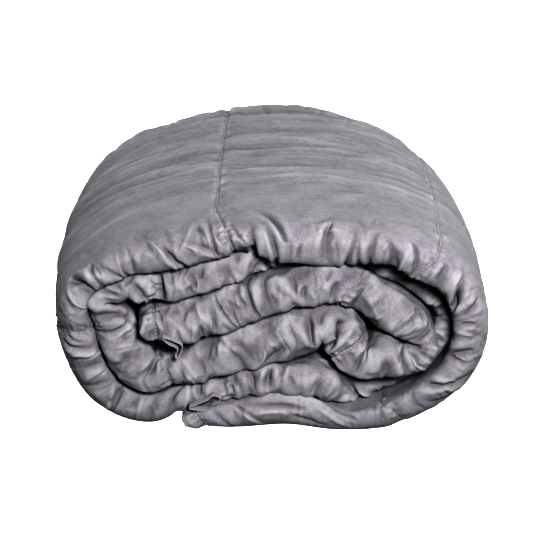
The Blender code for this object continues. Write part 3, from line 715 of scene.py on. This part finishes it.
def long_wrinkles(rng, place, over, seam):
    """The ridges that run round the roll on top, each bent at the top seam and fading at its ends."""
    height = np.zeros(over.shape)
    for start, left, right, width, rise in LONG_WRINKLES:
        run = (place - seam) / WRINKLE_RUN
        to_left = left * np.clip(run, 0, 2) ** 0.8
        to_right = right * np.sin(0.75 * math.pi * np.clip(-run, 0, 1.3))
        sway = waves(rng, place, 0.0, 90, count=4)
        strong = 0.75 + 0.25 * waves(rng, place, 0.0, 60, count=4)
        height += rise * strong * bump(over - start - to_left - to_right - 1.2 * sway, width)
    for _ in range(FINE_WRINKLES):
        middle = rng.uniform(WRINKLE_FROM, WRINKLE_TO)
        start, reach, width, rise = (rng.uniform(*span) for span in FINE_WRINKLE)
        slope = rng.uniform(-0.3, -0.1) if middle > seam else rng.uniform(-0.02, 0.12)
        line = start + slope * (place - middle) + 1.5 * waves(rng, place, 0.0, 70, count=3)
        height += rise * bump(place - middle, reach) * bump(over - line, width)
    lean = over - np.where(place > seam, *STREAKS_LEAN) * (place - seam)
    behind = np.clip((over - STREAKS_FROM[0]) / STREAKS_FROM[1], 0, 1)
    for size, stretch, rise in STREAKS:
        height += rise * behind * ridges(rng, lean, place * stretch, size)
    inside = np.clip(np.minimum(place - WRINKLE_FROM, WRINKLE_TO - place) / WRINKLE_FADE, 0, 1)
    return height * inside


def ridges(rng, place, over, size):
    """Sharp-crested unevenness, as crumpled cloth has, of about unit height."""
    bent = 0.35 * size * waves(rng, place, over, 2.5 * size, count=4)
    return 0.75 - np.abs(waves(rng, place + bent, over - bent, 2 * size, count=8))


def small_folds(rng, length, middle, kind):
    """Small folds strewn along an edge: rows as in CREASES, round the place across where the edge is."""
    apart, lean, reaches, widths, rises = kind
    rows, place = [], 0.0
    while place < length:
        aside, reach, centre = rng.uniform(-lean, lean), rng.uniform(*reaches), middle + rng.uniform(-8, 8)
        width, rise = rng.uniform(*widths), rng.uniform(*rises)
        rows.append((place - aside, centre - reach, place + aside, centre + reach, width, rise))
        place += apart * rng.uniform(0.5, 1.5)
    return rows


def relief(roll, place, over, from_seam):
    """How far the cloth's creases, seams and filling raise each point of its surface."""
    rng = np.random.default_rng(SEED)
    height = np.zeros(over.shape)
    for rows in CREASES.values():
        add_creases(height, place, over, rows)
    add_creases(height, place, over, small_folds(rng, roll.length, 4.0, FRONT_FOLDS))
    add_creases(height, place, np.abs(over), small_folds(rng, roll.length, BACK_EDGE, BACK_FOLDS))
    height += long_wrinkles(rng, place, over, roll.seams[TOP_SEAM] + 4) * (over > 0)
    front_part = bump(np.maximum(np.abs(over) - FRONT_PART, 0), FRONT_PART)
    mean, swing, least = CRUMPLE_SHARES
    patches = np.clip(mean + swing * waves(rng, place, over, CRUMPLE_PATCHES), least, 1) * front_part
    inside = np.clip((place - roll.seams[PARTING_SEAM]) / PARTING + 0.5, 0, 1)
    plump = BULGES_OUTSIDE + (1 - BULGES_OUTSIDE) * inside
    crumpled = CRUMPLED_OUTSIDE + (1 - CRUMPLED_OUTSIDE) * inside
    for size, stretch, rise in CRUMPLE:
        height += rise * crumpled * patches * ridges(rng, place, over * stretch, size)
    for size in LUMP_SIZES:
        height += LUMP * size / LUMP_SIZES[0] * waves(rng, place, over, size) * (0.5 - 0.5 * front_part)
    for size, stretch, rise in BULGES:
        height += rise * plump * front_part * waves(rng, place, over * stretch, size)
    ripple = waves(rng, PUCKER_STRETCH * place, over, PUCKER_STEP, count=6)
    height += PUCKER * ripple * bump(from_seam, PUCKER_REACH) * (1 - bump(from_seam, STITCH_GROOVE_WIDTH))
    rim_height, rim_away, rim_width = SEAM_RIM
    height += rim_height * (1 + PUCKERED_RIM * ripple) * bump(from_seam - rim_away, rim_width)
    height -= STITCH_GROOVE * bump(from_seam, STITCH_GROOVE_WIDTH)
    behind = np.clip((np.abs(over) - PRESSED[0]) / PRESSED[1], 0, 1)
    held = 1 - (1 - PRESSED[2]) * behind
    outside = (over > 0) & (place < roll.seams[PARTING_SEAM])
    return height * np.where(outside, 1.0, held)


def add_object(name, data):
    """A new object in the scene."""
    made = bpy.data.objects.new(name, data)
    bpy.context.collection.objects.link(made)
    return made


def add_mesh(name, points, faces, material, smooth=True):
    """A finished mesh as one object, its points given in millimetres."""
    data = bpy.data.meshes.new(name)
    data.from_pydata((points * MM).tolist(), [], faces)
    data.update()
    data.materials.append(material)
    if smooth:
        data.shade_smooth()
    return add_object(name, data)


def grid_faces(columns, rows):
    """The quads of a grid whose rows close to a ring."""
    index = np.arange(columns * rows).reshape(columns, rows)
    ahead = np.roll(index, -1, axis=1)
    return np.stack([index[:-1], index[1:], ahead[1:], ahead[:-1]], axis=-1).reshape(-1, 4)


def lay_out(piece, *parts):
    """Stores where each point of a piece lies on the cloth, and how high, for its material's weave and for
    the shade and light painted into its grey by that height.
    """
    cloth = np.stack([np.broadcast_to(part, parts[1].shape) for part in parts], axis=-1)
    piece.data.attributes.new("cloth", "FLOAT_VECTOR", "POINT").data.foreach_set("vector", cloth.ravel())


def add_cloth(roll, name, start, end, step, rows, material):
    """One stretch of the blanket from one place on it to another. Its stitches are returned as lines."""
    places = np.linspace(start, end, round((end - start) / step) + 1)
    grid, over, from_seam = surface_grid(roll, places, rows)
    height = relief(roll, places[:, None], over, from_seam)
    normal = normals(grid)
    height *= 1 - (1 - ON_FLOOR[1]) * bump(np.maximum(grid[:, :, 2], 0), ON_FLOOR[0])
    grid += normal * height[:, :, None]
    grid[:, :, 2] = np.maximum(grid[:, :, 2], 0.0)
    columns, ring = grid.shape[:2]
    faces = grid_faces(columns, ring).tolist()
    if start == 0:
        faces.append(list(range(ring)))
    if end == roll.length:
        faces.append(list(range((columns - 1) * ring, columns * ring))[::-1])
    piece = add_mesh(name, grid.reshape(-1, 3), faces, material)
    lay_out(piece, places[:, None], over, height)
    dress(piece, "blanket")
    return seam_lines(roll, places, grid, normal, over)


def seam_lines(roll, places, grid, normal, over):
    """The lines of stitches on one stretch of cloth: points along each, and the way outward there."""
    lines = []
    for k, seam in enumerate(roll.seams):
        drift = np.array(SEAM_DRIFT.get(k, ((0, 0),)), float)
        offsets = [row if k == 0 else -row for row in HEM_ROWS] if k in (0, len(roll.seams) - 1) else [0.0]
        for offset in offsets:
            column = np.searchsorted(places, seam + offset)
            if not 0 < column < len(places):
                continue
            across_here = over[column]
            at = seam + offset + np.interp(across_here, drift[:, 0], drift[:, 1])
            outside = k <= PARTING_SEAM
            high = STITCHED[OUTER] if outside else STITCHED_INSIDE
            low = STITCHED[INNER] if outside else -STITCHED_INSIDE
            shown = (across_here < high) & (across_here > low) & (at > places[0]) & (at < places[-1])
            rows = np.flatnonzero(shown)
            rows = rows[np.argsort(across_here[rows])]
            where = np.interp(at[rows], places, np.arange(len(places)))
            left = np.minimum(where.astype(int), len(places) - 2)
            part = (where - left)[:, None]
            fields = grid, normal
            lines.append([field[left, rows] * (1 - part) + field[left + 1, rows] * part for field in fields])
    return lines


def add_stitches(lines, material):
    """All the stitches, each a small rounded piece of thread lying along its seam: three rings, two tips."""
    points, faces = [], []
    sides = range(THREAD_SIDES)
    for line, way in lines:
        run = distances(line)
        for start in np.arange(1.0, run[-1] - STITCH, STITCH_PITCH):
            at = start + STITCH_PLACES * STITCH
            middle, up = (
                np.stack([np.interp(at, run, field[:, k]) for k in range(3)], axis=1) for field in (line, way)
            )
            side = np.cross(up, middle[-1] - middle[0])
            side /= np.maximum(np.linalg.norm(side, axis=1), 1e-9)[:, None]
            middle = middle + up * (STITCH_ARCH[:, None] * THREAD_RISE)
            first = len(points)
            for k in range(1, 4):
                for turn in sides:
                    angle = 2 * math.pi * turn / THREAD_SIDES
                    points.append(middle[k] + THREAD * (math.cos(angle) * side[k] + math.sin(angle) * up[k]))
            points.extend([middle[0], middle[4]])
            rings = [[first + THREAD_SIDES * k + turn for turn in sides] for k in range(3)]
            tips = first + 3 * THREAD_SIDES, first + 3 * THREAD_SIDES + 1
            for here, there in zip(rings, rings[1:]):
                for k in sides:
                    ahead = (k + 1) % THREAD_SIDES
                    faces.append((here[k], here[ahead], there[ahead], there[k]))
            for k in sides:
                ahead = (k + 1) % THREAD_SIDES
                faces.append((rings[0][ahead], rings[0][k], tips[0]))
                faces.append((rings[2][k], rings[2][ahead], tips[1]))
    piece = add_mesh("seam_stitches", np.array(points), faces, material)
    dress(piece, "blanket")


def add_loop(name, material):
    """A ribbon bent to a loop, its two ends together at the hem."""
    knots = np.array(LOOPS[name], float)
    middle, _ = smooth_curve(knots, RIBBON_STEPS * len(knots))
    way = np.gradient(middle, axis=0)
    way /= np.linalg.norm(way, axis=1)[:, None]
    side = np.column_stack([way[:, 1], -way[:, 0]])
    far = FRONT + LOOP_DEPTHS[name]
    # The ribbon's section, from its front edge back and round: depth and offset from its middle.
    depths = [0, RIBBON_ROUND, RIBBON_WIDTH - RIBBON_ROUND, RIBBON_WIDTH]
    offsets = [0.5, 1, 1, 0.5]
    section = [
        (far - RIBBON_WIDTH + depth, offset * RIBBON / 2)
        for depth, offset in zip(depths + depths[::-1], offsets + [-offset for offset in offsets])
    ]
    grid = np.array(
        [
            [(x + out_x * o, y, z + out_z * o) for y, o in section]
            for (x, z), (out_x, out_z) in zip(middle, side)
        ]
    )
    columns, ring = grid.shape[:2]
    faces = grid_faces(columns, ring).tolist()
    faces += [list(range(ring)), list(range((columns - 1) * ring, columns * ring))[::-1]]
    piece = add_mesh("ribbon_" + name[4:], grid.reshape(-1, 3), faces, material)
    lay_out(piece, distances(middle)[:, None], grid[:, :, 1], 0.0)
    dress(piece, name)


def dress(piece, node):
    """Puts a piece on the model in place of a node, and hides that node's part."""
    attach(piece, "root")
    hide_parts(node)


def node(tree, kind, inputs=(), **settings):
    """A node of a material, its inputs set to values or joined to other nodes' outputs."""
    made = tree.nodes.new(kind)
    for key, value in settings.items():
        setattr(made, key, value)
    for key, value in dict(inputs).items():
        if isinstance(value, bpy.types.NodeSocket):
            tree.links.new(value, made.inputs[key])
        else:
            made.inputs[key].default_value = value
    return made


def set_inputs(made, values):
    """Sets inputs of a node to values."""
    for key, value in values.items():
        made.inputs[key].default_value = value


def new_material(name):
    """A new material, and its shader."""
    material = bpy.data.materials.new(name)
    material.use_nodes = True
    return material, material.node_tree.nodes["Principled BSDF"]


def maths(tree, operation, *values):
    """The result of a maths node."""
    return node(tree, "ShaderNodeMath", dict(enumerate(values)), operation=operation).outputs[0]


def woven(name, dark, light, pitch, rise, sheen, roughness):
    """A woven material: two greys, the weave's pitch in mm and its rise in metres."""
    material, shader = new_material(name)
    tree = material.node_tree
    cloth = node(tree, "ShaderNodeAttribute", attribute_name="cloth").outputs["Vector"]
    parts = node(tree, "ShaderNodeSeparateXYZ", {"Vector": cloth}).outputs
    turns = 2 * math.pi / pitch
    warp, weft = (maths(tree, "SINE", maths(tree, "MULTIPLY", parts[axis], turns)) for axis in ("X", "Y"))
    # Painted shade and light: the grey is painted darker in the relief's troughs and lighter on its ridges.
    painted_shade = node(tree, "ShaderNodeMapRange", {"Value": parts["Z"], **RELIEF_PAINTED_SHADE}).outputs["Result"]
    noises = []
    for _, scale, detail in NOISES:
        look = {"Vector": cloth, "Scale": scale, "Detail": detail, "Roughness": 0.6}
        noises.append(node(tree, "ShaderNodeTexNoise", look).outputs["Fac"])
    grain, slubs, patches = (
        maths(tree, "MULTIPLY", noise, share) for noise, (share, _, _) in zip(noises, NOISES)
    )
    mixed = maths(tree, "ADD", maths(tree, "ADD", grain, slubs), patches)
    ramp = node(tree, "ShaderNodeValToRGB", {"Fac": maths(tree, "ADD", mixed, painted_shade)})
    for stop, place, grey in zip(ramp.color_ramp.elements, GREYS_AT, (dark, light)):
        stop.position = place
        stop.color = (*grey, 1)
    tree.links.new(ramp.outputs["Color"], shader.inputs["Base Color"])
    weave = maths(tree, "MULTIPLY", warp, weft)
    height = maths(tree, "ADD", weave, maths(tree, "MULTIPLY", noises[0], GRAIN_RISE))
    bumped = node(tree, "ShaderNodeBump", {"Height": height, "Strength": 0.6, "Distance": rise})
    tree.links.new(bumped.outputs["Normal"], shader.inputs["Normal"])
    set_inputs(shader, {"Roughness": roughness, "Specular IOR Level": 0.25})
    set_inputs(shader, {"Sheen Weight": sheen, "Sheen Roughness": 0.5})
    return material


def add_camera():
    """The camera, at the photograph's viewing angle."""
    data = bpy.data.cameras.new("camera")
    data.lens = CAMERA_LENS
    data.sensor_width = CAMERA_SENSOR
    camera = add_object("camera", data)
    elevation = math.radians(CAMERA_ELEVATION)
    away = Vector((0, -math.cos(elevation), math.sin(elevation)))
    camera.location = Vector(CAMERA_LOOKS_AT) + CAMERA_DISTANCE * away
    camera.rotation_euler = (math.radians(90 - CAMERA_ELEVATION), 0, 0)
    bpy.context.scene.camera = camera


def add_light(name, place, size, power):
    """A large round soft light."""
    data = bpy.data.lights.new(name, "AREA")
    data.shape = "DISK"
    data.size = size
    data.energy = power
    light = add_object(name, data)
    light.location = place
    light.rotation_euler = (Vector(LIGHTS_TURN_TO) - Vector(place)).to_track_quat("-Z", "Y").to_euler()


def add_floor():
    """A pale floor. It glows, to look as white as the photograph's background, and lights nothing."""
    corners = np.array([(-1, -1, 0), (1, -1, 0), (1, 1, 0), (-1, 1, 0)]) * (FLOOR_HALF / MM)
    material, shader = new_material("pale_floor")
    set_inputs(shader, {"Base Color": (FLOOR_GREY, FLOOR_GREY, FLOOR_GREY, 1), "Roughness": 0.8})
    set_inputs(shader, {"Emission Color": (1, 1, 1, 1), "Emission Strength": FLOOR_GLOW})
    floor = add_mesh("floor", corners, [(0, 1, 2, 3)], material, smooth=False)
    floor.visible_diffuse = False


def add_world():
    """A faint even light from all round, and the picture's tone curve."""
    world = bpy.data.worlds.new("studio")
    world.use_nodes = True
    set_inputs(world.node_tree.nodes["Background"], {"Color": (1, 1, 1, 1), "Strength": WORLD_LIGHT})
    bpy.context.scene.world = world
    view = bpy.context.scene.view_settings
    view.view_transform = "Standard"
    view.look = "Very High Contrast"
    view.gamma = PICTURE_GAMMA


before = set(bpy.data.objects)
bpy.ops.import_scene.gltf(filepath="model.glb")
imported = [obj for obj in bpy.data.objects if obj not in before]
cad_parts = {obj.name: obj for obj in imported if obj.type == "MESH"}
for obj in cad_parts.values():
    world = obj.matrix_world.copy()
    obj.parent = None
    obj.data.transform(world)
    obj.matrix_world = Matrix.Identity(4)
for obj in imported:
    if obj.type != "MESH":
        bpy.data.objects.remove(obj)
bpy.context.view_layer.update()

add_camera()
roll = Roll(ROUTE)
cotton, ribbon, thread = (woven(*look) for look in (COTTON, WOVEN_RIBBON, THREAD_YARN))
stitches, start = [], 0
for name, end, step, rows in PIECES:
    end = min(end, roll.length)
    stitches += add_cloth(roll, name, start, end, step, rows, cotton)
    start = end
add_stitches(stitches, thread)
for name in LOOPS:
    add_loop(name, ribbon)
add_floor()
for light in LIGHTS:
    add_light(*light)
add_world()
